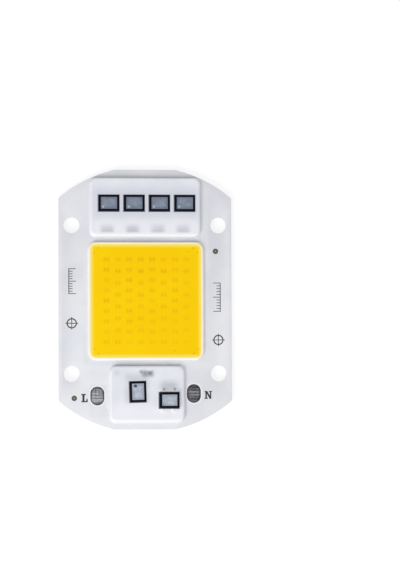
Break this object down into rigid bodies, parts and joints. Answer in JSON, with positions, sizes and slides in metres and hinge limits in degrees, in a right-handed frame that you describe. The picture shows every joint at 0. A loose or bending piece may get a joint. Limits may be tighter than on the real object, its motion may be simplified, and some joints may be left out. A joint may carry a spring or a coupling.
{
  "type": "chip-on-board LED light source with on-board mains drivers",
  "caption": "Flat white board with a square phosphor-covered LED field, potted driver chips above it, a potted rectifier block below, two solder pads and four screw holes.",
  "frame": {"origin": "centre of the board's back face", "axes": "+Z out of the lit side, +Y towards the driver chips, +X to the right"},
  "size_m": [0.04, 0.06, 0.004],
  "materials": {
    "aluminium": "satin",
    "dielectric": "matte",
    "copper": "satin",
    "white_mask": "matte",
    "white_silicone": "satin",
    "phosphor_gel": "satin",
    "die": "satin",
    "black_epoxy": "matte",
    "tinned_metal": "satin",
    "ceramic": "matte"
  },
  "bodies": {
    "root": {"aluminium_base": "aluminium", "dielectric_layer": "dielectric", "copper_circuit": "copper", "solder_mask": "white_mask", "line_pad_solder": "tinned_metal", "neutral_pad_solder": "tinned_metal", "led_dies": "die", "led_dam": "white_silicone", "phosphor_gel": "phosphor_gel", "driver_potting": "white_silicone", "input_potting": "white_silicone", "driver_ic_1": "black_epoxy", "driver_ic_1_leads": "tinned_metal", "sense_resistor_1": "ceramic", "sense_resistor_1_caps": "tinned_metal", "driver_ic_2": "black_epoxy", "driver_ic_2_leads": "tinned_metal", "sense_resistor_2": "ceramic", "sense_resistor_2_caps": "tinned_metal", "driver_ic_3": "black_epoxy", "driver_ic_3_leads": "tinned_metal", "sense_resistor_3": "ceramic", "sense_resistor_3_caps": "tinned_metal", "driver_ic_4": "black_epoxy", "driver_ic_4_leads": "tinned_metal", "sense_resistor_4": "ceramic", "sense_resistor_4_caps": "tinned_metal", "control_ic": "black_epoxy", "control_ic_leads": "tinned_metal", "bridge_rectifier": "black_epoxy", "bridge_rectifier_leads": "tinned_metal", "feed_capacitor": "ceramic", "feed_capacitor_caps": "tinned_metal", "bias_resistor": "ceramic", "bias_resistor_caps": "tinned_metal"}
  },
  "joints": []
}
